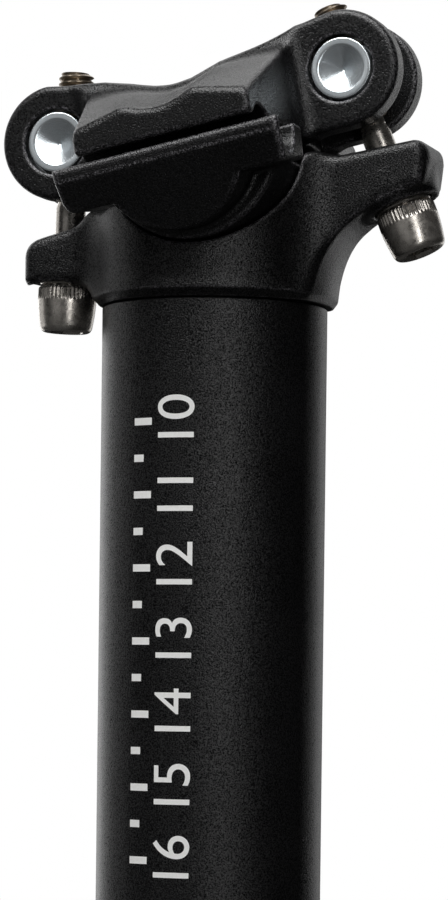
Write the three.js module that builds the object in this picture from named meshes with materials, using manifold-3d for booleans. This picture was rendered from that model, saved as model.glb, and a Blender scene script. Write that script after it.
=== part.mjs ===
// Two-bolt micro-adjust bicycle seatpost, in millimetres.
// +Z runs up the post, +X points to the rear of the bicycle, -Y is the bicycle's left side.
// The origin is the centre of the tube's lower end.
import * as THREE from "three";
import { mergeVertices } from "three/addons/utils/BufferGeometryUtils.js";
import Module from "manifold-3d";

const wasm = await Module();
wasm.setup();

// ---- Driving dimensions ----------------------------------------------------------------
const RUN = 0.3; // clearance left between neighbouring pieces
const FULL_TURN = 2 * Math.PI;

const TUBE_R = 15.8; // 31.6 mm post
const TUBE_BORE_R = 13.5;
const TUBE_CHAMFER = 0.6;
const SEAM_Z = 330; // joint line between the tube and the head

const COLLAR_R = 16.8;
const BODY_R = 16.5;
const SPIGOT_R = TUBE_BORE_R - RUN;
const SPIGOT_BORE_R = 9.5;
const SPIGOT_DEPTH = 32;
const WING_HALF_WIDTH = 6;
const WING_CORNER_R = 2.6;
const WING_REAR_X = 31.9;
const WING_FRONT_X = -27.3;

const ROCKER = { x: 1.5, z: SEAM_Z + 20.5 }; // axis that the cradle rolls about
const ROCKER_R = 13;

const CLAMP_TILT = THREE.MathUtils.degToRad(11.6); // rear of the clamp up, as set
const CLAMP_MID_X = 4.9; // middle of the clamp in its own frame
const RAIL_R = 3.5; // saddle rail, 7 mm
const RAIL_Y = 22; // rails are 44 mm apart
const RAIL_Z = 17.7;
const PARTING_LOW = 18.5; // cradle land
const PARTING_HIGH = 19.6; // underside of the upper clamp's wings

const CRADLE_LENGTH = 32.4;
const CRADLE_HALF_WIDTH = 26.5;
const CRADLE_BAR_INNER_Y = 15.2; // front half, which swings past the head
const CRADLE_REAR_INNER_Y = 14.4;
const CRADLE_BAR_Z = 12.2;
const CRADLE_BLOCK_TOP = 15.5;
const SKIRT_R = 10;
const SKIRT_Z = 16.8;

const EAR_R = 8;
const EAR_SPAN = 42.3; // between the two barrel nut axes
const EAR_X_SHIFT = -0.2; // ears sit this far forward of the clamp's middle
const EAR_Z = 26.9;
const FORK_HALF_WIDTH = 7.3;
const SLOT_HALF_WIDTH = 3.25;
const SLOT_DEPTH = 15.4; // from the ear's outer edge to the slot's root
const EAR_BORE_R = 4.6;

const BARREL_R = 4.2;
const BARREL_LENGTH = 13.8;
const DIMPLE_R = 3.3;
const DIMPLE_DEPTH = 1.9;

const THREAD_R = 2.35; // mean radius of the M5 thread
const THREAD_HOLE_R = 2.9;
const SHANK_R = 2.1;
const NECK_R = 1.8;
const NECK_START = 10.8; // height above the washer where the shank tapers to the neck
const BOLT_LENGTH = 30.4; // under the head
const THREAD_LENGTH = 17;
const HEAD_R = 4.15;
const HEAD_END_R = 3.7;
const HEAD_HEIGHT = 6.4;
const HEAD_BAND = 1.6;
const SOCKET_FLATS = 4;
const SOCKET_DEPTH = 3.4;
const FRONT_LEAN = THREE.MathUtils.degToRad(1.9); // bolt's lean to the rear, going up
const REAR_LEAN = THREE.MathUtils.degToRad(-21.8);
const FRONT_REACH = 19.4; // seat washer's centre to barrel nut's axis
const REAR_REACH = 19.9;

const WASHER_R = 3.9; // spherical seat
const WASHER_BORE_R = 2.5;
const BOLT_HOLE_R = 3.2;
const BOSS_R = 5.3; // flat ring round each washer pocket
const BOSS_RISE = 0.15; // from the washer's centre up to that ring

// ---- Working helpers -------------------------------------------------------------------
function solidOf(geometry) {
  const bare = geometry.clone();
  bare.deleteAttribute("normal");
  bare.deleteAttribute("uv");
  const merged = mergeVertices(bare, 1e-4);
  const mesh = new wasm.Mesh({
    numProp: 3,
    vertProperties: new Float32Array(merged.attributes.position.array),
    triVerts: new Uint32Array(merged.index.array),
  });
  return new wasm.Manifold(mesh);
}

function geometryOf(solid) {
  const mesh = solid.getMesh();
  const geometry = new THREE.BufferGeometry();
  geometry.setAttribute("position", new THREE.BufferAttribute(mesh.vertProperties, 3));
  geometry.setIndex(new THREE.BufferAttribute(mesh.triVerts, 1));
  geometry.computeVertexNormals();
  return geometry;
}

function join(geometries) {
  return geometries.map(solidOf).reduce((whole, piece) => whole.add(piece));
}

function cut(solid, geometries) {
  return geometries.map(solidOf).reduce((rest, tool) => rest.subtract(tool), solid);
}

function box(x0, x1, y0, y1, z0, z1) {
  const geometry = new THREE.BoxGeometry(x1 - x0, y1 - y0, z1 - z0);
  return geometry.translate((x0 + x1) / 2, (y0 + y1) / 2, (z0 + z1) / 2);
}

function cylinderAlongY(radius, length, x, z, segments = 40) {
  return new THREE.CylinderGeometry(radius, radius, length, segments).translate(x, 0, z);
}

function cylinderAlongZ(radius, z0, z1, segments = 40) {
  const geometry = new THREE.CylinderGeometry(radius, radius, z1 - z0, segments);
  return geometry.rotateX(Math.PI / 2).translate(0, 0, (z0 + z1) / 2);
}

function cylinderAlongX(radius, x0, x1, y, z, segments = 28) {
  const geometry = new THREE.CylinderGeometry(radius, radius, x1 - x0, segments);
  return geometry.rotateZ(Math.PI / 2).translate((x0 + x1) / 2, y, z);
}

// A profile of [radius, height] pairs turned about +Z.
function turned(profile, segments = 40) {
  const points = profile.map(([radius, height]) => new THREE.Vector2(radius, height));
  return new THREE.LatheGeometry(points, segments).rotateX(Math.PI / 2);
}

// A side outline in X and Z, given thickness along Y about the middle plane.
function plate(shape, thickness, bevel = 0) {
  const geometry = new THREE.ExtrudeGeometry(shape, {
    depth: thickness - 2 * bevel,
    bevelEnabled: bevel > 0,
    bevelThickness: bevel,
    bevelSize: bevel,
    bevelOffset: -bevel,
    bevelSegments: 2,
    curveSegments: 10,
  });
  return geometry.rotateX(Math.PI / 2).translate(0, thickness / 2 - bevel, 0);
}

function material(color, roughness, metalness) {
  return new THREE.MeshStandardMaterial({ color, roughness, metalness });
}

function named(name, geometry, finish) {
  const mesh = new THREE.Mesh(geometry, finish);
  mesh.name = name;
  return mesh;
}

const blackBlasted = () => material(0x1c1c1e, 0.55, 0.6);
const blackForged = () => material(0x18181a, 0.42, 0.6);
const zincPlate = () => material(0xc9ced4, 0.25, 1);
const nickelSteel = () => material(0x8f8a83, 0.32, 1);

// Directions and seats of the two bolts, in the post's own frame.
function clampPoint(x, z) {
  const cos = Math.cos(CLAMP_TILT);
  const sin = Math.sin(CLAMP_TILT);
  return new THREE.Vector3(x * cos - z * sin, 0, SEAM_Z + x * sin + z * cos);
}

function boltLine(side, lean, reach) {
  const earX = CLAMP_MID_X + EAR_X_SHIFT + (side * EAR_SPAN) / 2;
  const barrel = clampPoint(earX, EAR_Z);
  const up = new THREE.Vector3(Math.sin(lean), 0, Math.cos(lean));
  const seat = barrel.clone().addScaledVector(up, -reach);
  return { earX, lean, up, seat };
}

const FRONT = boltLine(-1, FRONT_LEAN, FRONT_REACH);
const REAR = boltLine(1, REAR_LEAN, REAR_REACH);

// Moves a geometry made about the bolt's own +Z axis, with its seat at the origin.
function alongBolt(geometry, line) {
  return geometry.rotateY(line.lean).translate(line.seat.x, 0, line.seat.z);
}

// ---- The post --------------------------------------------------------------------------
function makeTube() {
  const top = SEAM_Z - RUN;
  const profile = [
    [TUBE_BORE_R, TUBE_CHAMFER],
    [TUBE_BORE_R + TUBE_CHAMFER, 0],
    [TUBE_R - TUBE_CHAMFER, 0],
    [TUBE_R, TUBE_CHAMFER],
    [TUBE_R, top],
    [TUBE_BORE_R, top],
    [TUBE_BORE_R, TUBE_CHAMFER],
  ];
  return named("post_tube", geometryOf(solidOf(turned(profile, 56))), blackBlasted());
}

// Side outline of the two wings and the web that carries them.
function wingShape() {
  const shape = new THREE.Shape();
  const rearTop = SEAM_Z + 21.3;
  const rearLow = SEAM_Z + 15;
  const frontLow = SEAM_Z + 3.4;
  shape.moveTo(-13, SEAM_Z + 0.4);
  shape.quadraticCurveTo(-13.8, frontLow, -17.5, frontLow);
  shape.lineTo(WING_FRONT_X + 0.9, frontLow);
  shape.quadraticCurveTo(WING_FRONT_X, frontLow, WING_FRONT_X, frontLow + 0.9);
  shape.lineTo(WING_FRONT_X, SEAM_Z + 7.2);
  shape.quadraticCurveTo(WING_FRONT_X + 0.2, SEAM_Z + 8.9, -24, SEAM_Z + 9.7);
  shape.lineTo(-19, SEAM_Z + 11);
  shape.quadraticCurveTo(-16, SEAM_Z + 13.2, -10, SEAM_Z + 14);
  shape.lineTo(12, SEAM_Z + 18.75);
  shape.lineTo(17, SEAM_Z + 19.55);
  shape.lineTo(25, SEAM_Z + 20.9);
  shape.lineTo(WING_REAR_X - 2.2, rearTop);
  shape.quadraticCurveTo(WING_REAR_X, rearTop, WING_REAR_X, rearTop - 2.2);
  shape.lineTo(WING_REAR_X, rearLow + 0.6);
  shape.quadraticCurveTo(WING_REAR_X, rearLow, WING_REAR_X - 1.2, rearLow - 0.1);
  shape.lineTo(26.4, SEAM_Z + 14);
  shape.quadraticCurveTo(18.2, SEAM_Z + 10.6, 15.8, SEAM_Z + 3);
  shape.lineTo(14, SEAM_Z + 1);
  return shape;
}

// Plan outline that rounds the wings' four outer corners.
function wingPlan() {
  const shape = new THREE.Shape();
  const w = WING_HALF_WIDTH;
  const r = WING_CORNER_R;
  shape.moveTo(WING_FRONT_X + r, -w);
  shape.lineTo(WING_REAR_X - r, -w);
  shape.absarc(WING_REAR_X - r, -w + r, r, -Math.PI / 2, 0, false);
  shape.lineTo(WING_REAR_X, w - r);
  shape.absarc(WING_REAR_X - r, w - r, r, 0, Math.PI / 2, false);
  shape.lineTo(WING_FRONT_X + r, w);
  shape.absarc(WING_FRONT_X + r, w - r, r, Math.PI / 2, Math.PI, false);
  shape.lineTo(WING_FRONT_X, -w + r);
  shape.absarc(WING_FRONT_X + r, -w + r, r, Math.PI, 1.5 * Math.PI, false);
  const depth = 40;
  const geometry = new THREE.ExtrudeGeometry(shape, { depth, bevelEnabled: false, curveSegments: 4 });
  return geometry.translate(0, 0, SEAM_Z - 2);
}

function bodyGeometry() {
  const chamfer = 0.9;
  return turned([
    [0, SEAM_Z - SPIGOT_DEPTH],
    [SPIGOT_R - chamfer, SEAM_Z - SPIGOT_DEPTH],
    [SPIGOT_R, SEAM_Z - SPIGOT_DEPTH + chamfer],
    [SPIGOT_R, SEAM_Z],
    [TUBE_R, SEAM_Z],
    [COLLAR_R, SEAM_Z + chamfer],
    [BODY_R, SEAM_Z + 3],
    [BODY_R, SEAM_Z + 14],
    [0, SEAM_Z + 14],
  ], 56);
}

// Round pocket under a wing for the spherical washer, a spot face for the bolt's head,
// and the clearance hole above them.
function seatTools(line) {
  const pocketR = WASHER_R + RUN;
  const pocket = new THREE.SphereGeometry(pocketR, 28, 16).rotateX(Math.PI / 2);
  const hole = cylinderAlongZ(BOLT_HOLE_R, 0, 14, 28);
  const spot = cylinderAlongZ(BOSS_R + 0.2, -9, BOSS_RISE, 28);
  return [pocket, hole, spot].map((tool) => alongBolt(tool, line));
}

function makeHead() {
  const wings = solidOf(plate(wingShape(), 2 * WING_HALF_WIDTH));
  const bosses = join([FRONT, REAR].map((line) => alongBolt(cylinderAlongZ(BOSS_R, 0, 4), line)));
  const whole = wings.intersect(solidOf(wingPlan())).add(solidOf(bodyGeometry())).add(bosses);
  const trough = cylinderAlongY(ROCKER_R + RUN, 60, ROCKER.x, ROCKER.z, 64);
  const spigotBore = cylinderAlongZ(SPIGOT_BORE_R, SEAM_Z - SPIGOT_DEPTH - 1, SEAM_Z + 2.6, 36);
  const tools = [trough, spigotBore, ...seatTools(FRONT), ...seatTools(REAR)];
  return named("post_head", geometryOf(cut(whole, tools)), blackBlasted());
}

// ---- Parts in the clamp's own frame ----------------------------------------------------
function rockerInClamp() {
  const cos = Math.cos(CLAMP_TILT);
  const sin = Math.sin(CLAMP_TILT);
  const dz = ROCKER.z - SEAM_Z;
  return { x: ROCKER.x * cos + dz * sin, z: dz * cos - ROCKER.x * sin };
}

// Side outline of one rail bar with its half-round skirt.
function barShape() {
  const shape = new THREE.Shape();
  const x0 = CLAMP_MID_X - CRADLE_LENGTH / 2;
  const x1 = CLAMP_MID_X + CRADLE_LENGTH / 2;
  const drop = SKIRT_Z - CRADLE_BAR_Z;
  const angle = Math.asin(drop / SKIRT_R);
  shape.moveTo(x0, PARTING_LOW);
  shape.lineTo(x0 + 0.4, CRADLE_BAR_Z + 0.9);
  shape.quadraticCurveTo(x0 + 0.5, CRADLE_BAR_Z, x0 + 1.6, CRADLE_BAR_Z);
  shape.lineTo(CLAMP_MID_X - SKIRT_R * Math.cos(angle), CRADLE_BAR_Z);
  shape.absarc(CLAMP_MID_X, SKIRT_Z, SKIRT_R, Math.PI + angle, FULL_TURN - angle, false);
  shape.lineTo(x1 - 0.4, CRADLE_BAR_Z);
  shape.lineTo(x1, PARTING_LOW);
  return shape;
}

// The bars' outer faces lean inwards below a narrow upright band.
function barDraftTool(side) {
  const bandHeight = 1.6;
  const lean = 5.5;
  const shape = new THREE.Shape();
  shape.moveTo(CRADLE_HALF_WIDTH, PARTING_LOW - bandHeight);
  shape.lineTo(CRADLE_HALF_WIDTH + 3, PARTING_LOW - bandHeight);
  shape.lineTo(CRADLE_HALF_WIDTH + 3, 5);
  shape.lineTo(CRADLE_HALF_WIDTH - lean, 5);
  const length = 60;
  const geometry = new THREE.ExtrudeGeometry(shape, { depth: length, bevelEnabled: false });
  // Section drawn in Y and Z, run along X.
  geometry.rotateX(Math.PI / 2).rotateZ(Math.PI / 2).translate(-length / 3, 0, 0);
  if (side > 0) return geometry;
  return geometry.rotateZ(Math.PI).translate(2 * CLAMP_MID_X, 0, 0);
}

function makeCradle() {
  const rocker = rockerInClamp();
  const bar = solidOf(plate(barShape(), 2 * CRADLE_HALF_WIDTH));
  const betweenFront = box(-30, CLAMP_MID_X, -CRADLE_BAR_INNER_Y, CRADLE_BAR_INNER_Y, 0, 40);
  const betweenRear = box(0, 40, -CRADLE_REAR_INNER_Y, CRADLE_REAR_INNER_Y, 0, 40);
  const disc = solidOf(cylinderAlongY(ROCKER_R, 2 * CRADLE_BAR_INNER_Y + 4, rocker.x, rocker.z, 64));
  const belowTop = solidOf(box(-30, 40, -30, 30, 0, CRADLE_BLOCK_TOP));
  const tools = [];
  for (const side of [-1, 1]) {
    const y = side * RAIL_Y;
    tools.push(cylinderAlongX(RAIL_R, -30, 40, y, RAIL_Z));
    tools.push(box(-30, 40, y - RAIL_R, y + RAIL_R, RAIL_Z, RAIL_Z + 5));
    tools.push(barDraftTool(side));
  }
  const whole = cut(bar, [betweenFront, betweenRear]).add(disc.intersect(belowTop));
  return named("lower_cradle", geometryOf(cut(whole, tools)), blackForged());
}

// Height of the upper clamp's wing along its outer edge, and of its central ridge.
const WING_EDGE = new THREE.SplineCurve([
  new THREE.Vector2(-7.5, 22.6),
  new THREE.Vector2(-2.4, 23.9),
  new THREE.Vector2(0.2, 24.5),
  new THREE.Vector2(4.2, 23.2),
  new THREE.Vector2(7.9, 23.8),
  new THREE.Vector2(9.9, 24.6),
  new THREE.Vector2(17.7, 22.7),
]);
const RIDGE = new THREE.SplineCurve([
  new THREE.Vector2(-11, 32.9),
  new THREE.Vector2(-4.6, 32.3),
  new THREE.Vector2(-0.4, 30.6),
  new THREE.Vector2(1.8, 30.2),
  new THREE.Vector2(4.8, 30.6),
  new THREE.Vector2(9.4, 32.2),
  new THREE.Vector2(20.5, 32.8),
]);
const RIDGE_HALF_WIDTH = 5.5;

// The roof: a block whose top is stretched between the wing edges and the ridge.
function roofGeometry() {
  const stations = 14;
  const shape = new THREE.Shape();
  shape.moveTo(0, 0);
  shape.lineTo(1, 0);
  for (let i = stations; i >= 0; i -= 1) shape.lineTo(i / stations, 1);
  const geometry = new THREE.ExtrudeGeometry(shape, { depth: 1, steps: 8, bevelEnabled: false });
  const position = geometry.attributes.position;
  for (let i = 0; i < position.count; i += 1) {
    const u = position.getX(i);
    const top = position.getY(i);
    const y = (0.5 - position.getZ(i)) * 2 * CRADLE_HALF_WIDTH;
    const inward = (CRADLE_HALF_WIDTH - Math.abs(y)) / (CRADLE_HALF_WIDTH - RIDGE_HALF_WIDTH);
    const blend = Math.min(1, Math.max(0, inward));
    const point = WING_EDGE.getPoint(u).lerp(RIDGE.getPoint(u), blend);
    position.setXYZ(i, point.x, y, top > 0.5 ? point.y : PARTING_HIGH);
  }
  return geometry;
}

// The spine runs between the two forks; its ends are round about the barrel nuts.
function spineShape() {
  const shape = new THREE.Shape();
  shape.absarc(FRONT.earX, EAR_Z, EAR_R, Math.PI / 2, 1.5 * Math.PI, false);
  shape.lineTo(REAR.earX, EAR_Z - EAR_R);
  shape.absarc(REAR.earX, EAR_Z, EAR_R, -Math.PI / 2, Math.PI / 2, false);
  shape.lineTo(15.5, EAR_Z + 5.6);
  shape.lineTo(1.8, EAR_Z + 3);
  shape.lineTo(-8, EAR_Z + 6);
  return shape;
}

function slotTool(side) {
  const tip = side < 0 ? FRONT.earX - EAR_R : REAR.earX + EAR_R;
  const root = tip - side * SLOT_DEPTH;
  const outer = tip + side * 4;
  const low = Math.min(root, outer);
  const high = Math.max(root, outer);
  return box(low, high, -SLOT_HALF_WIDTH, SLOT_HALF_WIDTH, 10, 45);
}

function makeUpperClamp() {
  const spine = plate(spineShape(), 2 * FORK_HALF_WIDTH);
  const tools = [
    slotTool(-1),
    slotTool(1),
    cylinderAlongY(EAR_BORE_R, 30, FRONT.earX, EAR_Z, 36),
    cylinderAlongY(EAR_BORE_R, 30, REAR.earX, EAR_Z, 36),
    box(-1.5, 10.5, -10, 10, 10, 25),
  ];
  for (const side of [-1, 1]) tools.push(cylinderAlongX(RAIL_R, -30, 40, side * RAIL_Y, RAIL_Z));
  return named("upper_clamp", geometryOf(cut(join([roofGeometry(), spine]), tools)), blackForged());
}

// ---- Fasteners -------------------------------------------------------------------------
function makeBarrel(name, line) {
  const half = BARREL_LENGTH / 2;
  const profile = [
    [0, -half + DIMPLE_DEPTH],
    [DIMPLE_R, -half],
    [BARREL_R - 0.2, -half],
    [BARREL_R, -half + 0.2],
    [BARREL_R, half - 0.2],
    [BARREL_R - 0.2, half],
    [DIMPLE_R, half],
    [0, half - DIMPLE_DEPTH],
  ];
  const body = solidOf(turned(profile, 32).rotateX(Math.PI / 2));
  const hole = cylinderAlongZ(THREAD_HOLE_R, -10, 10, 28).rotateY(line.lean + CLAMP_TILT);
  const mesh = named(name, geometryOf(cut(body, [hole])), zincPlate());
  mesh.position.set(line.earX, 0, EAR_Z);
  return mesh;
}

function makeBolt(name, line) {
  const top = BOLT_LENGTH - RUN; // the head starts one clearance below the washer
  const profile = [
    [0, -RUN - HEAD_HEIGHT],
    [HEAD_END_R - 0.4, -RUN - HEAD_HEIGHT],
    [HEAD_END_R, -RUN - HEAD_HEIGHT + 0.4],
    [HEAD_R - 0.15, -RUN - HEAD_BAND],
    [HEAD_R, -RUN - HEAD_BAND],
    [HEAD_R, -RUN],
    [SHANK_R, -RUN],
    [SHANK_R, NECK_START],
    [NECK_R, NECK_START + 2],
    [NECK_R, top - THREAD_LENGTH],
    [THREAD_R, top - THREAD_LENGTH + 0.5],
    [THREAD_R, top - 0.5],
    [THREAD_R - 0.5, top],
    [0, top],
  ];
  const socketR = SOCKET_FLATS / Math.sqrt(3);
  const socketFloor = -RUN - HEAD_HEIGHT + SOCKET_DEPTH;
  const socket = cylinderAlongZ(socketR, -RUN - HEAD_HEIGHT - 1, socketFloor, 6);
  const mesh = named(name, geometryOf(cut(solidOf(turned(profile, 32)), [socket])), nickelSteel());
  mesh.position.copy(line.seat);
  mesh.rotation.y = line.lean;
  return mesh;
}

function makeWasher(name, line) {
  const steps = 8;
  const profile = [[WASHER_BORE_R, 0]];
  const last = Math.acos(WASHER_BORE_R / WASHER_R);
  for (let i = 0; i <= steps; i += 1) {
    const angle = (last * i) / steps;
    profile.push([WASHER_R * Math.cos(angle), WASHER_R * Math.sin(angle)]);
  }
  profile.push([WASHER_BORE_R, 0]);
  const mesh = named(name, geometryOf(solidOf(turned(profile, 32))), nickelSteel());
  mesh.position.copy(line.seat);
  mesh.rotation.y = line.lean;
  return mesh;
}

// ---- Assembly --------------------------------------------------------------------------
const clamp = new THREE.Group();
clamp.position.z = SEAM_Z;
clamp.rotation.y = -CLAMP_TILT;
clamp.add(makeCradle(), makeUpperClamp());
clamp.add(makeBarrel("front_barrel_nut", FRONT), makeBarrel("rear_barrel_nut", REAR));

const seatpost = new THREE.Group();
seatpost.add(makeTube(), makeHead(), clamp);
seatpost.add(makeWasher("front_seat_washer", FRONT), makeWasher("rear_seat_washer", REAR));
seatpost.add(makeBolt("front_clamp_bolt", FRONT), makeBolt("rear_clamp_bolt", REAR));

export default seatpost;
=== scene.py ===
"""Looks of a two-bolt bicycle seatpost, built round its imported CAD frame.

Shapes are worked out in millimetres. The post's frame has its origin on the seam between
tube and head; the clamp's frame is the same one tilted, rear end up.
"""
import math

import bmesh
import bpy
import numpy as np
from mathutils import Matrix, Vector


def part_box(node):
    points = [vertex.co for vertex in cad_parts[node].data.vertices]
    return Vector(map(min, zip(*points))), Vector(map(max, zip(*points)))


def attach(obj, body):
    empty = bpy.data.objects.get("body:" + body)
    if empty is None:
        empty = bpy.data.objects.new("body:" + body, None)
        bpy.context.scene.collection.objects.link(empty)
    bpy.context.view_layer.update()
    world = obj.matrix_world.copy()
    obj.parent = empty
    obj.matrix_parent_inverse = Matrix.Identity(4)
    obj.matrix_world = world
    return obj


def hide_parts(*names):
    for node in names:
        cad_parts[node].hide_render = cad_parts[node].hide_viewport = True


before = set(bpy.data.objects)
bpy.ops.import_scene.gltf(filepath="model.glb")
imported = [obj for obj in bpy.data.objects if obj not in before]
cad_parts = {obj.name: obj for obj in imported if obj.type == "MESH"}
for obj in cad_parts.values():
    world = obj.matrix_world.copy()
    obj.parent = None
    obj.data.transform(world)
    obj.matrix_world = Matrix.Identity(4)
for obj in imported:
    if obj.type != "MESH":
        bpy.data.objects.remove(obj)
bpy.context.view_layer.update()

MM = 0.001
GAP = 0.3
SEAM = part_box("post_tube")[1][2] / MM + GAP  # height of the seam, in millimetres
TILT = math.radians(11.6)  # clamp's rest angle
COS, SIN = math.cos(TILT), math.sin(TILT)

TUBE_R, BORE_R = 15.8, 13.5
ROCKER_X, ROCKER_Z, ROCKER_R = 1.5, 20.5, 13.0
WING_W = 6.0
CLAMP_MID = 4.9
RAIL_R, RAIL_Y, RAIL_Z = 3.5, 22.0, 17.7
LAND_Z, JAW_Z = 18.5, 19.6
BAR_Z, BAR_HALF, BAR_W = 12.2, 16.2, 26.5
DRAFT = math.radians(24.8)
EAR_R, EAR_Z, FORK_W, SLOT_W, EAR_BORE = 8.05, 26.9, 7.3, 3.25, 4.6
EAR_FRONT, EAR_REAR = CLAMP_MID - 0.2 - 21.15, CLAMP_MID - 0.2 + 21.15
NUT_HALF, NUT_R, NUT_HOLE_R = 6.9, 4.2, 3.0
BALL_R, WASHER_BORE_R = 3.9, 2.3
HEAD_LOW = -6.7  # lower end of a bolt's head, measured from its washer
PITCH = 0.8


# ---- Signed-distance modelling ------------------------------------------------------------
def smooth_min(a, b, k):
    h = np.maximum(k - np.abs(a - b), 0.0) / k
    return np.minimum(a, b) - h * h * k * 0.25


def smooth_max(a, b, k):
    return -smooth_min(-a, -b, k)


class Outline:
    """Signed distance to a closed plane outline, kept on a fine grid; negative inside."""

    def __init__(self, points, margin=5.0, step=0.12):
        corners = np.asarray(points, float)
        self.low = corners.min(0) - margin
        self.step = step
        count = np.ceil((corners.max(0) + margin - self.low) / step).astype(int) + 1
        u = self.low[0] + step * np.arange(count[0])[:, None]
        v = self.low[1] + step * np.arange(count[1])[None, :]
        near = np.full(count, 1e9)
        inside = np.zeros(count, bool)
        for a, b in zip(corners, np.roll(corners, -1, axis=0)):
            e = b - a
            length = float(e @ e)
            if length < 1e-12:
                continue
            t = np.clip(((u - a[0]) * e[0] + (v - a[1]) * e[1]) / length, 0, 1)
            near = np.minimum(near, (u - a[0] - t * e[0]) ** 2 + (v - a[1] - t * e[1]) ** 2)
            if abs(e[1]) > 1e-12:
                level = (a[1] <= v) != (b[1] <= v)
                inside ^= level & (u < a[0] + (v - a[1]) * e[0] / e[1])
        self.grid = np.where(inside, -1.0, 1.0) * np.sqrt(near)

    def __call__(self, u, v):
        fu = (u - self.low[0]) / self.step
        fv = (v - self.low[1]) / self.step
        cu = np.clip(fu, 0, self.grid.shape[0] - 1.001)
        cv = np.clip(fv, 0, self.grid.shape[1] - 1.001)
        iu, iv = cu.astype(int), cv.astype(int)
        tu, tv = cu - iu, cv - iv
        g = self.grid
        low = g[iu, iv] * (1 - tu) + g[iu + 1, iv] * tu
        high = g[iu, iv + 1] * (1 - tu) + g[iu + 1, iv + 1] * tu
        outside = np.hypot(fu - cu, fv - cv) * self.step
        return low * (1 - tv) + high * tv + outside


def arc(cx, cz, r, start, end, n=16):
    angles = np.radians(np.linspace(start, end, n))
    return [(cx + r * math.cos(a), cz + r * math.sin(a)) for a in angles]


def bend(a, b, c, n=8):
    """Points of the quadratic curve from a to c, pulled towards b."""
    t = np.linspace(0, 1, n)
    return [
        tuple((1 - s) ** 2 * np.array(a) + 2 * s * (1 - s) * np.array(b) + s * s * np.array(c))
        for s in t
    ]


def grid_values(field, low, counts, step):
    axes = [low[i] + step * np.arange(counts[i]) for i in range(3)]
    values = np.empty(counts, np.float32)
    slab = 12
    for i in range(0, counts[0], slab):
        x, y, z = np.meshgrid(axes[0][i:i + slab], axes[1], axes[2], indexing="ij")
        values[i:i + slab] = field(x, y, z)
    return values


def net_points(values):
    """One point per grid cell that the surface crosses, and its number in each cell."""
    cells = tuple(n - 1 for n in values.shape)
    total = np.zeros(cells + (3,), np.float32)
    hits = np.zeros(cells, np.float32)
    corner = [(i, j, k) for i in (0, 1) for j in (0, 1) for k in (0, 1)]

    def at(c):
        return values[c[0]:c[0] + cells[0], c[1]:c[1] + cells[1], c[2]:c[2] + cells[2]]

    for a in corner:
        for axis in range(3):
            if a[axis]:
                continue
            b = tuple(v + (1 if n == axis else 0) for n, v in enumerate(a))
            fa, fb = at(a), at(b)
            cross = (fa < 0) != (fb < 0)
            t = np.where(cross, fa / np.where(cross, fa - fb, 1), 0)
            for n in range(3):
                total[..., n] += cross * (a[n] + (t if n == axis else 0))
            hits += cross
    number = np.full(cells, -1, np.int64)
    used = hits > 0
    number[used] = np.arange(int(used.sum()))
    where = np.argwhere(used)
    return where + total[used] / hits[used][:, None], number


def net_quads(values, number):
    inside = values < 0
    quads = []
    for axis in range(3):
        near = [slice(None)] * 3
        far = [slice(None)] * 3
        near[axis], far[axis] = slice(0, -1), slice(1, None)
        change = inside[tuple(near)] != inside[tuple(far)]
        where = np.argwhere(change)
        u, v = (axis + 1) % 3, (axis + 2) % 3
        keep = (where[:, u] > 0) & (where[:, v] > 0)
        keep &= (where[:, u] < inside.shape[u] - 1) & (where[:, v] < inside.shape[v] - 1)
        where = where[keep]
        ring = []
        for du, dv in ((1, 1), (0, 1), (0, 0), (1, 0)):
            cell = where.copy()
            cell[:, u] -= du
            cell[:, v] -= dv
            ring.append(number[cell[:, 0], cell[:, 1], cell[:, 2]])
        ring = np.stack(ring, 1)
        outwards = inside[where[:, 0], where[:, 1], where[:, 2]]
        ring[~outwards] = ring[~outwards][:, ::-1]
        quads.append(ring)
    return np.concatenate(quads)


def slope_of(field, points, reach=0.05):
    """Gradient of the field at the points."""
    out = np.empty_like(points)
    for n in range(3):
        ahead, behind = points.copy(), points.copy()
        ahead[:, n] += reach
        behind[:, n] -= reach
        out[:, n] = (field(*ahead.T) - field(*behind.T)) / (2 * reach)
    return out


def relax(points, quads, amount):
    """Moves each point towards the middle of its neighbours."""
    total = np.zeros_like(points)
    count = np.zeros(len(points))
    for a in range(4):
        i, j = quads[:, a], quads[:, (a + 1) % 4]
        for n in range(3):
            total[:, n] += np.bincount(i, points[j, n], len(points))
            total[:, n] += np.bincount(j, points[i, n], len(points))
        count += np.bincount(i, minlength=len(points)) + np.bincount(j, minlength=len(points))
    return points + amount * (total / count[:, None] - points)


def settle(field, points):
    """Moves the points on to the field's surface."""
    slope = slope_of(field, points)
    steep = np.maximum((slope**2).sum(1), 0.2)
    move = (field(*points.T) / steep)[:, None] * slope
    return points - np.clip(move, -0.2, 0.2)


def edge_amount(field, points, reach=0.45):
    """How convex the surface is at each point: 0 on flats, about 1 on crisp outer edges."""
    total = np.zeros(len(points))
    for n in range(3):
        for sign in (-1, 1):
            moved = points.copy()
            moved[:, n] += sign * reach
            total += field(*moved.T)
    return np.clip(total / (6 * reach) / 0.22, -1, 1)


def to_world(points, clamp=False):
    """Millimetres in the post's or clamp's frame to metres in the scene."""
    x, y, z = np.asarray(points, float).T
    if clamp:
        x, z = x * COS - z * SIN, x * SIN + z * COS
    return np.stack([x, y, z + SEAM], 1) * MM


def object_of(name, points, faces, material, edge=None):
    mesh = bpy.data.meshes.new(name)
    mesh.from_pydata(points.tolist(), [], [tuple(face) for face in faces])
    mesh.polygons.foreach_set("use_smooth", [True] * len(mesh.polygons))
    if edge is not None:
        mesh.attributes.new("edge", "FLOAT", "POINT").data.foreach_set("value", edge.astype(np.float32))
    mesh.materials.append(material)
    mesh.validate()
    piece = bpy.data.objects.new(name, mesh)
    bpy.context.collection.objects.link(piece)
    return piece


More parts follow.
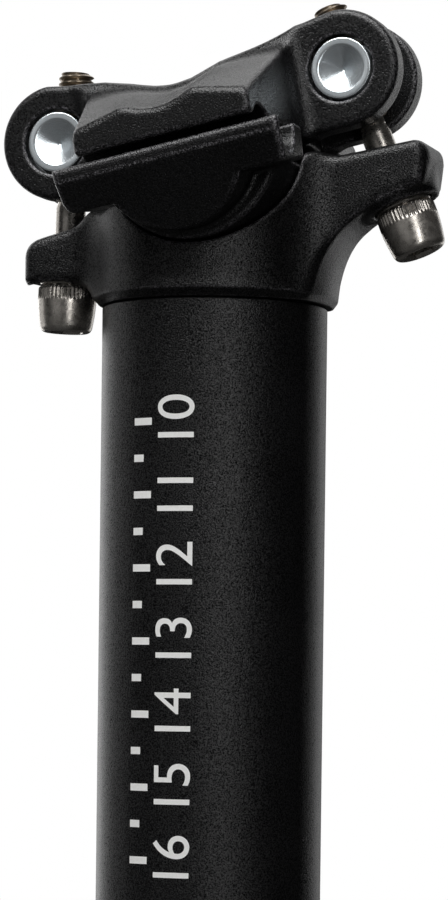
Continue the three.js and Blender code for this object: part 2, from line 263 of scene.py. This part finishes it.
def sculpt(name, field, low, high, step, material, clamp=False, wear_and_highlight=None):
    low = np.array(low, float)
    counts = tuple(int(n) for n in np.ceil((np.array(high) - low) / step) + 1)
    values = grid_values(field, low, counts, step)
    cells, number = net_points(values)
    quads = net_quads(values, number)
    points = low + cells * step
    for _ in range(3):
        points = settle(field, relax(points, quads, 0.5))
    points = settle(field, points)
    edge = edge_amount(field, points)
    # The extra mask adds painted highlight lines to the edge mask.
    if wear_and_highlight:
        edge = np.maximum(edge, wear_and_highlight(*points.T))
    return object_of(name, to_world(points, clamp), quads.tolist(), material, edge)


# ---- Materials -----------------------------------------------------------------------------
def node(tree, kind, **inputs):
    made = tree.nodes.new(kind)
    for key, value in inputs.items():
        made.inputs[key.replace("_", " ")].default_value = value
    return made


def ramp(tree, source, stops):
    made = tree.nodes.new("ShaderNodeValToRGB")
    tree.links.new(source, made.inputs["Fac"])
    elements = made.color_ramp.elements
    while len(elements) < len(stops):
        elements.new(0.5)
    for element, (place, value) in zip(elements, stops):
        element.position = place
        element.color = (value, value, value, 1) if isinstance(value, float) else (*value, 1)
    return made.outputs["Color"]


def noise(tree, scale, detail=2.0, roughness=0.5):
    coordinates = tree.nodes.new("ShaderNodeTexCoord")
    made = node(tree, "ShaderNodeTexNoise", Scale=scale, Detail=detail, Roughness=roughness)
    tree.links.new(coordinates.outputs["Object"], made.inputs["Vector"])
    return made.outputs["Fac"]


def math_node(tree, operation, a, b):
    made = tree.nodes.new("ShaderNodeMath")
    made.operation = operation
    for socket, value in zip(made.inputs, (a, b)):
        if isinstance(value, float):
            socket.default_value = value
        else:
            tree.links.new(value, socket)
    return made.outputs[0]


def bump(tree, height, distance, strength=1.0):
    made = node(tree, "ShaderNodeBump", Distance=distance, Strength=strength)
    tree.links.new(height, made.inputs["Height"])
    return made.outputs["Normal"]


def new_material(name, metallic, specular=0.5):
    material = bpy.data.materials.new(name)
    material.use_nodes = True
    shader = material.node_tree.nodes["Principled BSDF"]
    shader.inputs["Metallic"].default_value = metallic
    shader.inputs["Specular IOR Level"].default_value = specular
    return material, material.node_tree, shader


def blasted_black(name, dark, light, rough_low, rough_high, grain, glint, wear_and_highlight):
    """Black anodising over a blasted surface; outer edges lighter from wear, and painted highlight lines in
    the same lighter grey where the edge mask carries them.
    """
    material, tree, shader = new_material(name, 0.0, 0.5)
    fine = noise(tree, grain, 1.0, 0.6)
    broad = noise(tree, 90.0, 3.0)
    attribute = tree.nodes.new("ShaderNodeAttribute")
    attribute.attribute_name = "edge"
    crisp = ramp(tree, attribute.outputs["Fac"], [(0.22, 0.0), (0.75, 1.0)])
    speck = ramp(tree, noise(tree, 4200.0, 2.0, 0.75), [(0.48, 0.0), (0.66, 1.0)])
    edge_wear_and_highlight = math_node(tree, "MULTIPLY", crisp, speck)
    edge_wear_and_highlight = math_node(tree, "MULTIPLY", edge_wear_and_highlight, wear_and_highlight)
    base = ramp(tree, math_node(tree, "MULTIPLY", fine, broad), [(0.1, dark), (0.42, light)])
    # Lighter grey for edge wear, also used to paint highlight lines along some edges.
    mix = tree.nodes.new("ShaderNodeMix")
    mix.data_type = "RGBA"
    tree.links.new(edge_wear_and_highlight, mix.inputs["Factor"])
    tree.links.new(base, mix.inputs["A"])
    mix.inputs["B"].default_value = (0.30, 0.29, 0.31, 1)
    tree.links.new(mix.outputs["Result"], shader.inputs["Base Color"])
    rough = ramp(tree, fine, [(0.3, rough_low), (0.7, rough_high)])
    tree.links.new(rough, shader.inputs["Roughness"])
    shine = ramp(tree, fine, [(0.38, 0.5 - glint), (0.64, 0.5 + glint)])
    tree.links.new(shine, shader.inputs["Specular IOR Level"])
    tree.links.new(bump(tree, fine, 0.00008, 1.0), shader.inputs["Normal"])
    return material


def turned_metal(name, metallic, tint, shade, rough_low, rough_high, turned_about=None):
    """Machined steel with a slightly uneven finish; tool marks run round the turning axis."""
    material, tree, shader = new_material(name, metallic)
    if turned_about:
        tangent = tree.nodes.new("ShaderNodeTangent")
        tangent.direction_type = "RADIAL"
        tangent.axis = turned_about
        tree.links.new(tangent.outputs["Tangent"], shader.inputs["Tangent"])
        shader.inputs["Anisotropic"].default_value = 0.9
    patch = noise(tree, 700.0, 4.0, 0.6)
    tree.links.new(ramp(tree, patch, [(0.3, shade), (0.65, tint)]), shader.inputs["Base Color"])
    smear = noise(tree, 1800.0, 3.0, 0.6)
    tree.links.new(ramp(tree, smear, [(0.3, rough_low), (0.7, rough_high)]), shader.inputs["Roughness"])
    if not turned_about:
        tree.links.new(bump(tree, noise(tree, 5200.0, 2.0), 0.00001, 0.5), shader.inputs["Normal"])
    return material


# The last number sets how strongly edge wear and painted highlight lines lighten the colour.
BLASTED = blasted_black("anodised_black", (0.002, 0.002, 0.0022), (0.007, 0.007, 0.0075),
                        rough_low=0.26, rough_high=0.42, grain=5000.0, glint=0.38, wear_and_highlight=0.6)
FORGED = blasted_black("forged_black", (0.002, 0.002, 0.0022), (0.006, 0.006, 0.0065),
                       rough_low=0.24, rough_high=0.36, grain=4600.0, glint=0.16, wear_and_highlight=1.0)
NICKEL = turned_metal("nickel_steel", 0.92, (0.70, 0.66, 0.61), (0.48, 0.45, 0.41), 0.20, 0.38)
THREAD = turned_metal("thread_steel", 0.9, (0.36, 0.30, 0.23), (0.20, 0.165, 0.125), 0.25, 0.42)
ZINC = turned_metal("zinc_steel", 0.78, (0.88, 0.94, 0.97), (0.82, 0.89, 0.94), 0.17, 0.23, "Y")


def printed_white():
    material, tree, shader = new_material("printed_white", 0.0)
    wear_and_highlight = noise(tree, 2600.0, 3.0, 0.7)
    ink = ramp(tree, wear_and_highlight, [(0.3, (0.9, 0.9, 0.88)), (0.6, (0.97, 0.97, 0.95))])
    tree.links.new(ink, shader.inputs["Base Color"])
    tree.links.new(ramp(tree, wear_and_highlight, [(0.3, 0.4), (0.7, 0.6)]), shader.inputs["Roughness"])
    return material


WHITE = printed_white()


# ---- Head ----------------------------------------------------------------------------------
def head_outlines():
    low = 3.4
    wing = bend((-13, 0.4), (-13.8, low), (-17.5, low))
    wing += bend((-26.4, low), (-27.3, low), (-27.3, low + 0.9), 5)
    wing += bend((-27.3, 7.4), (-27.1, 9.2), (-24.0, 10.0), 6)
    wing += bend((-19, 11.3), (-16, 13.2), (-10, 14), 6)
    wing += [(12, 18.75), (17, 19.55), (25, 20.9)]
    wing += bend((29.8, 21.7), (31.8, 21.8), (31.9, 19.4), 8)
    wing += bend((31.4, 16.3), (31.3, 15.7), (30.5, 15.4), 5)
    wing += bend((27.2, 14.3), (18.4, 10.6), (15.0, 3.0), 12)
    wing += [(14, 1)]
    top = [(-45, -6), (-45, 3), (-26, 8.6), (-19, 11), (-10, 14.2)]
    top += [(12, 18.75), (17, 19.55), (25, 21.0), (45, 22.5), (45, -6)]
    body = [(-30, 0), (15.75, 0), (16.8, 1.15), (16.6, 3.2), (16.5, 24), (-30, 24)]
    return Outline(wing), Outline(top, 2), Outline(body)


WING, HEAD_TOP, BODY = head_outlines()


class Bolt:
    """Where a clamp bolt's washer sits in the post's frame, and the bolt's direction."""

    def __init__(self, body, ear_x, lean, reach):
        self.body = body
        self.lean = math.radians(lean)
        self.up = np.array([math.sin(self.lean), 0, math.cos(self.lean)])
        ear = np.array([ear_x * COS - EAR_Z * SIN, 0, ear_x * SIN + EAR_Z * COS])
        self.seat = ear - reach * self.up

    def local(self, x, y, z):
        """Height along the bolt above the washer's centre, and distance from the axis."""
        dx, dz = x - self.seat[0], z - self.seat[2]
        height = dx * self.up[0] + dz * self.up[2]
        across = dx * self.up[2] - dz * self.up[0]
        return height, np.hypot(across, y)


FRONT = Bolt("front_bolt", EAR_FRONT, 1.9, 19.4)
REAR = Bolt("rear_bolt", EAR_REAR, -21.8, 19.9)


def head_field(x, y, z):
    ay = np.abs(y)
    corner = 3.2
    plan_x = np.maximum(x - 33.0 + corner, -27.9 + corner - x)
    plan = np.hypot(np.maximum(plan_x, 0), np.maximum(ay - WING_W + corner, 0)) - corner
    plan = np.maximum(plan, np.minimum(np.maximum(plan_x, ay - WING_W + corner), 0) - corner)
    wings = smooth_max(WING(x, z), plan, 1.6)
    rho = np.hypot(x, y)
    body = smooth_max(BODY(rho, z), HEAD_TOP(x, z), 1.2)
    d = smooth_min(wings, body, 4.5)
    for bolt in (FRONT, REAR):
        h, r = bolt.local(x, y, z)
        boss = smooth_max(np.maximum(r - 5.3, -h + 0.15), h - 4, 0.3)
        d = smooth_min(d, boss, 1.2)
        d = smooth_max(d, -np.maximum(r - 5.6, h - 0.15), 0.25)
    d = smooth_max(d, ROCKER_R + GAP - np.hypot(x - ROCKER_X, z - ROCKER_Z), 0.5)
    for bolt in (FRONT, REAR):
        h, r = bolt.local(x, y, z)
        d = smooth_max(d, 4.2 - np.hypot(h, r), 0.25)
        d = smooth_max(d, -np.maximum(r - 3.2, -h), 0.3)
    return np.maximum(d, -z)


def head_highlight_lines(x, y, z):
    """Painted highlight lines along the rear wing's lower edges."""
    ay = np.abs(y)
    near = np.exp(-(((WING(x, z) + 0.35) / 0.4) ** 2)) * np.exp(-(((ay - WING_W + 0.35) / 0.5) ** 2))
    return 0.8 * near * (HEAD_TOP(x, z) < -2.5) * (x > 18)


def make_head():
    # The rear wing's lower edges get painted highlight lines.
    head = sculpt("head_forging", head_field, (-28.6, -18.5, -0.6), (34, 18.5, 22.8), 0.32,
                  BLASTED, wear_and_highlight=head_highlight_lines)
    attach(head, "post")
    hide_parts("post_head")
    spigot = lathe("head_spigot", [(9.5, -0.02), (9.5, -32), (12.4, -32), (13.2, -31.1), (13.2, -0.02)],
                   BLASTED, closed=True)
    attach(spigot, "post")
    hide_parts("post_head")


# ---- Turned pieces -------------------------------------------------------------------------
def place(points, bolt=None):
    """Points about the post's axis, or about a bolt's axis from its washer's centre."""
    points = np.asarray(points, float)
    if bolt is None:
        return to_world(points)
    x, y, z = points.T
    c, s = math.cos(bolt.lean), math.sin(bolt.lean)
    moved = np.stack([x * c + z * s, y, -x * s + z * c], 1) + bolt.seat
    return to_world(moved)


def lathe(name, profile, material, closed=False, segments=128, bolt=None):
    """A profile of (radius, height), turned; a profile that isn't closed ends on the axis."""
    rings = []
    points = []
    for radius, height in profile:
        if radius < 1e-6:
            rings.append([len(points)] * segments)
            points.append((0, 0, height))
            continue
        rings.append(list(range(len(points), len(points) + segments)))
        for n in range(segments):
            a = 2 * math.pi * n / segments
            points.append((radius * math.cos(a), radius * math.sin(a), height))
    faces = []
    pairs = list(zip(rings, rings[1:]))
    if closed:
        pairs.append((rings[-1], rings[0]))
    for low, high in pairs:
        for n in range(segments):
            m = (n + 1) % segments
            face = []
            for index in (low[n], low[m], high[m], high[n]):
                if index not in face:
                    face.append(index)
            faces.append(face)
    piece = object_of(name, place(points, bolt), faces, material)
    tidy_normals(piece)
    return piece


def tidy_normals(piece, sharp=math.radians(32)):
    mesh = bmesh.new()
    mesh.from_mesh(piece.data)
    bmesh.ops.recalc_face_normals(mesh, faces=mesh.faces)
    for e in mesh.edges:
        e.smooth = len(e.link_faces) == 2 and e.calc_face_angle(0) < sharp
    mesh.to_mesh(piece.data)
    mesh.free()


def make_tube():
    low, high = -SEAM, -0.25
    edge = 0.5
    profile = [(BORE_R, low + 0.6), (BORE_R + 0.6, low), (TUBE_R - edge, low)]
    profile += [(TUBE_R - edge + edge * math.sin(a), low + edge - edge * math.cos(a))
                for a in np.linspace(0.3, math.pi / 2, 4)]
    profile += [(TUBE_R, z) for z in np.linspace(low + 30, high - 4, 10)]
    profile += [(TUBE_R, high - 0.15), (TUBE_R - 0.15, high), (BORE_R, high)]
    tube = lathe("tube_shell", profile, BLASTED, closed=True, segments=192)
    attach(tube, "post")
    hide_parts("post_tube")


# ---- Cradle --------------------------------------------------------------------------------
def bar_outline():
    x0, x1 = CLAMP_MID - BAR_HALF, CLAMP_MID + BAR_HALF
    r, cz = 10.3, 16.9
    a = math.degrees(math.asin((cz - BAR_Z) / r))
    points = [(x0, LAND_Z), (x0 + 0.3, BAR_Z + 1.4)]
    points += bend((x0 + 0.4, BAR_Z + 1.2), (x0 + 0.6, BAR_Z), (x0 + 2.0, BAR_Z), 5)
    points += arc(CLAMP_MID, cz, r, 180 + a, 360 - a, 40)
    points += bend((x1 - 1.3, BAR_Z), (x1 - 0.4, BAR_Z), (x1 - 0.4, BAR_Z + 0.9), 5)
    points += [(x1, LAND_Z)]
    return Outline(points)


BAR = bar_outline()
ROCK_X = ROCKER_X * COS + ROCKER_Z * SIN
ROCK_Z = ROCKER_Z * COS - ROCKER_X * SIN


def drafted_side(ay, z):
    """Distance to the bars' outer face, which leans inwards below the upright band."""
    return (ay - BAR_W) * math.cos(DRAFT) + (LAND_Z - 1.7 - z) * math.sin(DRAFT)


def cradle_field(x, y, z):
    ay = np.abs(y)
    outer = smooth_max(ay - BAR_W, drafted_side(ay, z), 0.4)
    inner = np.where(x < CLAMP_MID, 15.2, 14.4) - ay
    rise = 0.17 * (BAR_W - ay)  # the underside slopes up towards the middle
    bar = smooth_max(np.maximum(BAR(x, z), BAR(x, z - rise)), outer, 0.9)
    bar = smooth_max(bar, inner, 1.0)
    disc = np.hypot(x - ROCK_X, z - ROCK_Z) - ROCKER_R
    disc = smooth_max(disc, ay - 17.2, 0.8)
    disc = smooth_max(disc, z - 15.5, 0.6)
    d = smooth_min(bar, disc, 0.8)
    dy = ay - RAIL_Y
    groove = np.where(z < RAIL_Z, np.hypot(dy, z - RAIL_Z), np.abs(dy)) - RAIL_R
    return smooth_max(d, -groove, 0.35)


def cradle_highlight_lines(x, y, z):
    """Painted highlight lines: a lighter colour along the foot of each upright band and down the belly's
    rear edge.
    """
    ay = np.abs(y)
    band = 0.62 * np.exp(-(((z - LAND_Z + 1.8) / 0.3) ** 2)) * (ay > BAR_W - 0.6)
    belly = np.exp(-(((drafted_side(ay, z) + 0.3) / 0.3) ** 2) - ((BAR(x, z) + 0.3) / 0.3) ** 2)
    return np.maximum(band, 0.75 * belly * (x > CLAMP_MID + 4))


def make_cradle():
    # Painted highlight lines along the bands and the belly's rear edge.
    cradle = sculpt("rail_cradle", cradle_field, (-13, -28, 5.6), (22.6, 28, 19.6), 0.3,
                    FORGED, clamp=True, wear_and_highlight=cradle_highlight_lines)
    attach(cradle, "cradle")
    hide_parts("lower_cradle")


# ---- Upper clamp ---------------------------------------------------------------------------
# Both lines of the roof, as (x, z) in the clamp's frame.
WING_EDGE = np.array([(-7.5, 22.2), (-6.9, 22.9), (-2.4, 23.9), (-0.1, 24.45), (0.7, 24.3),
                      (2.3, 23.7), (4.2, 23.3), (6.2, 23.35), (7.9, 23.8), (9.5, 24.5),
                      (10.3, 24.65), (12.0, 24.3), (17.7, 22.8)])
RIDGE = np.array([(-11, 32.85), (-7.6, 32.5), (-4.6, 31.95), (-2.4, 31.25), (-0.4, 30.55), (1.8, 30.2),
                  (4.8, 30.6), (7.2, 31.45), (9.4, 32.1), (14.0, 32.3), (20.5, 32.6)])
RIDGE_W = 5.5


def roof_field(x, ay, z):
    """The clamp's roof, spanned between the outer wing edges and the ridge."""
    s = np.clip((BAR_W - ay) / (BAR_W - RIDGE_W), 0, 1)
    left = -7.5 - 3.5 * s
    right = 17.7 + 2.8 * s**1.6
    u = np.clip((x - left) / (right - left), 0, 1)
    span = lambda table: (table[:, 0] - table[0, 0]) / (table[-1, 0] - table[0, 0])
    edge = np.interp(u, span(WING_EDGE), WING_EDGE[:, 1])
    ridge = np.interp(u, span(RIDGE), RIDGE[:, 1])
    top = (z - edge * (1 - s) - ridge * s) * 0.86
    ends = smooth_max(left - x, x - 17.7 - 1.7 * s**1.6, 0.2)
    d = smooth_max(top, ends, 0.9)
    d = smooth_max(d, ay - BAR_W, 0.9)
    return smooth_max(d, JAW_Z - z, 0.7)


def spine_outline():
    points = arc(EAR_FRONT, EAR_Z, EAR_R, 90, 270, 40)
    points += arc(EAR_REAR, EAR_Z, EAR_R, -90, 90, 40)
    points += bend((20.5, EAR_Z + 7.3), (18.0, EAR_Z + 6.2), (14.5, EAR_Z + 5.3), 5)
    points += bend((7, EAR_Z + 3.6), (1.8, EAR_Z + 2.4), (-3, EAR_Z + 4.2), 6)
    points += [(-8, EAR_Z + 6.2)]
    return Outline(points)


SPINE = spine_outline()


def upper_field(x, y, z):
    ay = np.abs(y)
    roof = roof_field(x, ay, z)
    spine = smooth_max(SPINE(x, z), ay - FORK_W, 1.1)
    d = smooth_min(roof, spine, 2.6)
    root = 15.4 - EAR_R
    front = np.maximum(x - (EAR_FRONT + root), ay - SLOT_W)
    rear = np.maximum((EAR_REAR - root) - x, ay - SLOT_W)
    d = smooth_max(d, -np.minimum(front, rear), 0.6)
    for ear_x in (EAR_FRONT, EAR_REAR):
        d = smooth_max(d, EAR_BORE - np.hypot(x - ear_x, z - EAR_Z), 0.35)
    d = smooth_max(d, RAIL_R - np.hypot(ay - RAIL_Y, z - RAIL_Z), 0.3)
    pocket = np.maximum(np.maximum(np.abs(x - 4.5) - 6, ay - 10), z - 25)
    return smooth_max(d, -pocket, 0.8)


def make_upper():
    upper = sculpt("clamp_yoke", upper_field, (-26, -28, 18), (35, 28, 36), 0.3, FORGED, clamp=True)
    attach(upper, "upper")
    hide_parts("upper_clamp")


# ---- Fasteners -----------------------------------------------------------------------------
def thread_rows(start, end, crest=2.5, depth=0.46):
    """Radius of a V thread at each height and turn; rows are a tenth of a pitch apart."""
    heights = np.arange(start, end, PITCH / 10)

    def radius(height, turn):
        phase = (height / PITCH - turn) % 1.0
        wave = abs(2 * phase - 1)
        fade = min(1.0, max(0.0, (end - height) / 0.5), max(0.0, (height - start) / 0.4))
        return crest - depth * (1 - min(1, wave * 1.25)) - (1 - fade) * 0.42

    return heights, radius


def knurl(angle, height, teeth=44):
    """Depth of the straight knurl cut on the bolt head's upper band."""
    wave = 0.5 - 0.5 * math.cos(teeth * angle)
    fade = min(1.0, max(0.0, (height + 2.3) / 0.5), max(0.0, (-0.35 - height) / 0.15))
    return 0.17 * wave * fade


def ring_surface(name, rows, material, bolt, segments):
    """Rows of (height, radius function of angle); both ends are closed."""
    points, faces = [], []
    angles = [2 * math.pi * n / segments for n in range(segments)]
    for height, radius in rows:
        points += [(radius(a) * math.cos(a), radius(a) * math.sin(a), height) for a in angles]
    for row in range(len(rows) - 1):
        for n in range(segments):
            m = (n + 1) % segments
            a, b = row * segments, (row + 1) * segments
            faces.append((a + n, a + m, b + m, b + n))
    faces.append(tuple(range(segments))[::-1])
    faces.append(tuple(range((len(rows) - 1) * segments, len(rows) * segments)))
    piece = object_of(name, place(points, bolt), faces, material)
    tidy_normals(piece)
    return piece


def head_radius(height):
    """Radius of the long cone-sided bolt head, from its lower end up to -0.3."""
    stops = np.array([(HEAD_LOW, 3.1), (-6.6, 3.35), (-6.4, 3.55), (-6.05, 3.72), (-5.0, 3.9), (-4.0, 4.03),
                      (-3.0, 4.12), (-1.9, 4.18), (-0.55, 4.16), (-0.38, 4.05), (-0.3, 3.85)])
    return float(np.interp(height, stops[:, 0], stops[:, 1]))


def make_bolt(bolt, node_name):
    heights = [HEAD_LOW, -6.64, -6.55, -6.42, -6.3, -6.1, -5.9, -5.0, -4.0, -3.0, -2.5, -2.3]
    heights += list(np.arange(-2.2, -0.5, 0.12)) + [-0.5, -0.44, -0.38, -0.3]
    rows = [(h, lambda a, h=h: head_radius(h) - knurl(a, h)) for h in heights]
    head = ring_surface(node_name.replace("clamp_bolt", "bolt_head"), rows, NICKEL, bolt, 352)
    cut_socket(head, bolt)
    top = 30.1
    start = top - 17
    shank = [(2.1, -0.3), (2.1, 10.9), (1.98, 11.5), (1.8, 12.0)]
    shank += [(1.68, 12.05), (1.68, 12.2), (1.8, 12.25), (1.8, start + 0.05)]
    rows = [(h, lambda a, r=r: r) for r, h in shank]
    thread_heights, radius = thread_rows(start, top)
    rows_thread = [(h, lambda a, h=h: radius(h, a / (2 * math.pi))) for h in thread_heights]
    rows_thread.append((top, lambda a: 1.75))
    shaft = ring_surface(node_name.replace("clamp_bolt", "bolt_shank"), rows, NICKEL, bolt, 64)
    screw = ring_surface(node_name.replace("clamp_bolt", "bolt_thread"), rows_thread, THREAD, bolt, 64)
    for piece in (head, shaft, screw):
        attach(piece, bolt.body)
        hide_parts(node_name)


def apply_cut(piece, tool):
    cutter = piece.modifiers.new("cut", "BOOLEAN")
    cutter.operation = "DIFFERENCE"
    cutter.solver = "EXACT"
    cutter.object = tool
    graph = bpy.context.evaluated_depsgraph_get()
    mesh = bpy.data.meshes.new_from_object(piece.evaluated_get(graph))
    piece.modifiers.clear()
    piece.data = mesh
    bpy.data.objects.remove(tool)
    tidy_normals(piece)


def cut_socket(piece, bolt, flats=4.0, depth=3.4):
    """Hexagon socket with a lead-in chamfer, cut from the head's lower end."""
    r = flats / math.sqrt(3)
    low = HEAD_LOW
    profile = [(0, low - 1), (r + 1.0, low - 1), (r + 0.35, low), (r, low + 0.45)]
    profile += [(r, low + depth), (0, low + depth + 0.9)]
    tool = lathe("socket_tool", profile, NICKEL, segments=6, bolt=bolt)
    apply_cut(piece, tool)


def make_washer(bolt, node_name, body):
    last = math.acos(WASHER_BORE_R / BALL_R)
    profile = [(WASHER_BORE_R, 0.0), (BALL_R - 0.1, 0.0)]
    profile += [(BALL_R * math.cos(a), BALL_R * math.sin(a)) for a in np.linspace(0.04, last, 14)]
    washer = lathe(node_name.replace("seat_washer", "ball_washer"), profile, NICKEL, True, 96, bolt)
    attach(washer, body)
    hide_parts(node_name)


def make_barrel(node_name, body, ear_x, bolt):
    """Barrel nut across the fork, with a drill-point dimple in each end."""
    end = [(0, NUT_HALF - 1.95), (0.25, NUT_HALF - 1.8)]
    rings = 26  # turned rings in the dimple
    for n in range(1, rings):
        r = 0.25 + (3.25 - 0.25) * n / rings
        depth = 1.9 * (1 - r / 3.3)
        end.append((r, NUT_HALF - depth - 0.008 * (n % 2)))
    end += [(3.3, NUT_HALF), (NUT_R - 0.25, NUT_HALF)]
    end += [(NUT_R - 0.07, NUT_HALF - 0.07), (NUT_R, NUT_HALF - 0.25)]
    profile = end + [(r, -h) for r, h in reversed(end)]
    barrel = lathe(node_name.replace("barrel_nut", "nut_barrel"), profile, ZINC, segments=128)
    # The lathe turns about +Z: lay the nut along Y and move it into its ear.
    turn = Matrix.Rotation(math.pi / 2, 4, "X")
    back = Matrix.Translation((0, 0, -SEAM * MM))
    ear = to_world([(ear_x, 0, EAR_Z)], True)[0]
    barrel.data.transform(Matrix.Translation(Vector(ear)) @ turn @ back)
    hole = [(0, 5), (NUT_HOLE_R, 5), (NUT_HOLE_R, 34), (0, 34)]
    tool = lathe("nut_tool", hole, ZINC, segments=48, bolt=bolt)
    apply_cut(barrel, tool)
    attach(barrel, body)
    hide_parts(node_name)


# ---- Printed height scale ------------------------------------------------------------------
def flat_scale():
    """Flat height scale, x up the tube and y across it: a bar every 5 mm, a number every 10 mm."""
    mesh = bmesh.new()
    for n in range(13):
        long = 3.0 if n % 2 == 0 else 1.7
        x0, x1, y0, y1 = -5 * n - 0.5, -5 * n + 0.5, -4.6, -4.6 + long
        corners = [(x0, y0), (x1, y0), (x1, y1), (x0, y1)]
        mesh.faces.new([mesh.verts.new((x, -y, 0)) for x, y in corners])
    for n in range(7):
        curve = bpy.data.curves.new("number", "FONT")
        curve.body = str(10 + n)
        curve.size = 7.6
        curve.resolution_u = 12
        curve.align_x = "CENTER"
        writing = bpy.data.objects.new("number", curve)
        flat = bpy.data.meshes.new_from_object(writing)
        flat.transform(Matrix.Translation((-10 * n, -4.6, 0)))
        mesh.from_mesh(flat)
        bpy.data.objects.remove(writing)
        bpy.data.curves.remove(curve)
        bpy.data.meshes.remove(flat)
    for y in np.arange(-4.5, 4.6, 0.5):
        everything = list(mesh.verts) + list(mesh.edges) + list(mesh.faces)
        bmesh.ops.bisect_plane(mesh, geom=everything, plane_co=(0, float(y), 0), plane_no=(0, 1, 0))
    return mesh


def make_scale():
    """Generic white height scale in centimetres, wrapped on the tube."""
    mesh = flat_scale()
    centre = math.radians(-98)
    r = TUBE_R + 0.03
    for vertex in mesh.verts:
        up, across = vertex.co.x, -vertex.co.y
        angle = centre + across / TUBE_R
        vertex.co = (r * math.cos(angle) * MM, r * math.sin(angle) * MM, (SEAM - 17 + up) * MM)
    data = bpy.data.meshes.new("height_scale")
    mesh.to_mesh(data)
    mesh.free()
    data.materials.append(WHITE)
    scale = bpy.data.objects.new("height_scale", data)
    bpy.context.collection.objects.link(scale)
    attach(scale, "post")
    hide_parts("post_tube")


# ---- Stage ---------------------------------------------------------------------------------
def make_camera():
    """Long lens a little below the clamp, 18 degrees round to the rear.

    An estimate: the photo also allows a nearer camera, 3 degrees further round.
    """
    azimuth, pitch, roll = math.radians(18.17), math.radians(-0.73), math.radians(0.70)
    distance = 457.23
    level = Vector((-math.sin(azimuth), math.cos(azimuth), 0))
    ahead = level * math.cos(pitch) + Vector((0, 0, math.sin(pitch)))
    right = Vector((math.cos(azimuth), math.sin(azimuth), 0))
    up = right.cross(ahead)
    c, s = math.cos(roll), math.sin(roll)
    right, up = right * c + up * s, up * c - right * s
    spot = -ahead * distance + right * 1.26 - up * 55.62
    data = bpy.data.cameras.new("camera")
    data.sensor_width = 36
    data.lens = 130.155
    data.shift_y = 0.28194  # the clamp fills the top of the picture
    data.clip_end = 50
    camera = bpy.data.objects.new("camera", data)
    turn = Matrix((right, up, -ahead)).transposed().to_4x4()
    camera.matrix_world = Matrix.Translation((spot + Vector((0, 0, SEAM))) * MM) @ turn
    bpy.context.collection.objects.link(camera)
    bpy.context.scene.camera = camera


def softbox(name, azimuth, elevation, distance, size, power, target=(0, 0, 0.335)):
    """Area light seen from the target at an azimuth (0 is the bicycle's left side, -Y)."""
    a, e = math.radians(azimuth), math.radians(elevation)
    towards = Vector((math.sin(a) * math.cos(e), -math.cos(a) * math.cos(e), math.sin(e)))
    data = bpy.data.lights.new(name, "AREA")
    data.shape = "RECTANGLE"
    data.size, data.size_y = size
    data.energy = power
    light = bpy.data.objects.new(name, data)
    light.location = Vector(target) + towards * distance
    light.rotation_euler = towards.to_track_quat("Z", "Y").to_euler()
    bpy.context.collection.objects.link(light)


def make_stage():
    floor_material, tree, shader = new_material("pale_floor", 0.0, 0.0)
    pale = ramp(tree, noise(tree, 6.0), [(0.3, (0.80, 0.80, 0.80)), (0.7, (0.84, 0.84, 0.84))])
    # The floor is pale to the camera, and dim in the part's reflections, as in a dark studio.
    path = tree.nodes.new("ShaderNodeLightPath")
    mix = tree.nodes.new("ShaderNodeMix")
    mix.data_type = "RGBA"
    tree.links.new(path.outputs["Is Camera Ray"], mix.inputs["Factor"])
    mix.inputs["A"].default_value = (0.05, 0.05, 0.05, 1)
    tree.links.new(pale, mix.inputs["B"])
    tree.links.new(mix.outputs["Result"], shader.inputs["Base Color"])
    tree.links.new(pale, shader.inputs["Emission Color"])
    glow = math_node(tree, "MULTIPLY", path.outputs["Is Camera Ray"], 0.55)
    tree.links.new(glow, shader.inputs["Emission Strength"])
    shader.inputs["Roughness"].default_value = 0.9
    side = 1.2
    corners = np.array([(-side, -side, 0), (side, -side, 0), (side, side, 0), (-side, side, 0)])
    floor = object_of("floor", corners, [(0, 1, 2, 3)], floor_material)
    world = bpy.data.worlds.new("studio")
    bpy.context.scene.world = world
    world.use_nodes = True
    tree = world.node_tree
    background = tree.nodes["Background"]
    background.inputs["Color"].default_value = (1, 1, 1, 1)
    path = tree.nodes.new("ShaderNodeLightPath")
    level = node(tree, "ShaderNodeMapRange")
    level.inputs["To Min"].default_value = 0.012
    level.inputs["To Max"].default_value = 1.0
    tree.links.new(path.outputs["Is Camera Ray"], level.inputs["Value"])
    tree.links.new(level.outputs["Result"], background.inputs["Strength"])
    softbox("key", 32, 14, 0.9, (0.16, 0.9), 1.7)
    softbox("front", -22, 10, 1.0, (0.7, 0.8), 0.32)
    softbox("fill_left", -102, 12, 0.9, (0.5, 0.9), 1.0)
    softbox("rim_left", -135, 8, 0.9, (0.35, 0.9), 1.9)
    softbox("rim_right", 168, 8, 0.9, (0.3, 0.9), 0.9)
    softbox("back_top", 185, 48, 0.9, (0.9, 0.45), 1.9)
    softbox("front_top", -8, 60, 0.8, (0.7, 0.5), 8.0)
    bpy.context.scene.view_settings.view_transform = "Standard"


make_tube()
make_head()
make_cradle()
make_upper()
make_barrel("front_barrel_nut", "front_nut", EAR_FRONT, FRONT)
make_barrel("rear_barrel_nut", "rear_nut", EAR_REAR, REAR)
make_bolt(FRONT, "front_clamp_bolt")
make_bolt(REAR, "rear_clamp_bolt")
make_washer(FRONT, "front_seat_washer", "front_washer")
make_washer(REAR, "rear_seat_washer", "rear_washer")
make_scale()
make_camera()
make_stage()
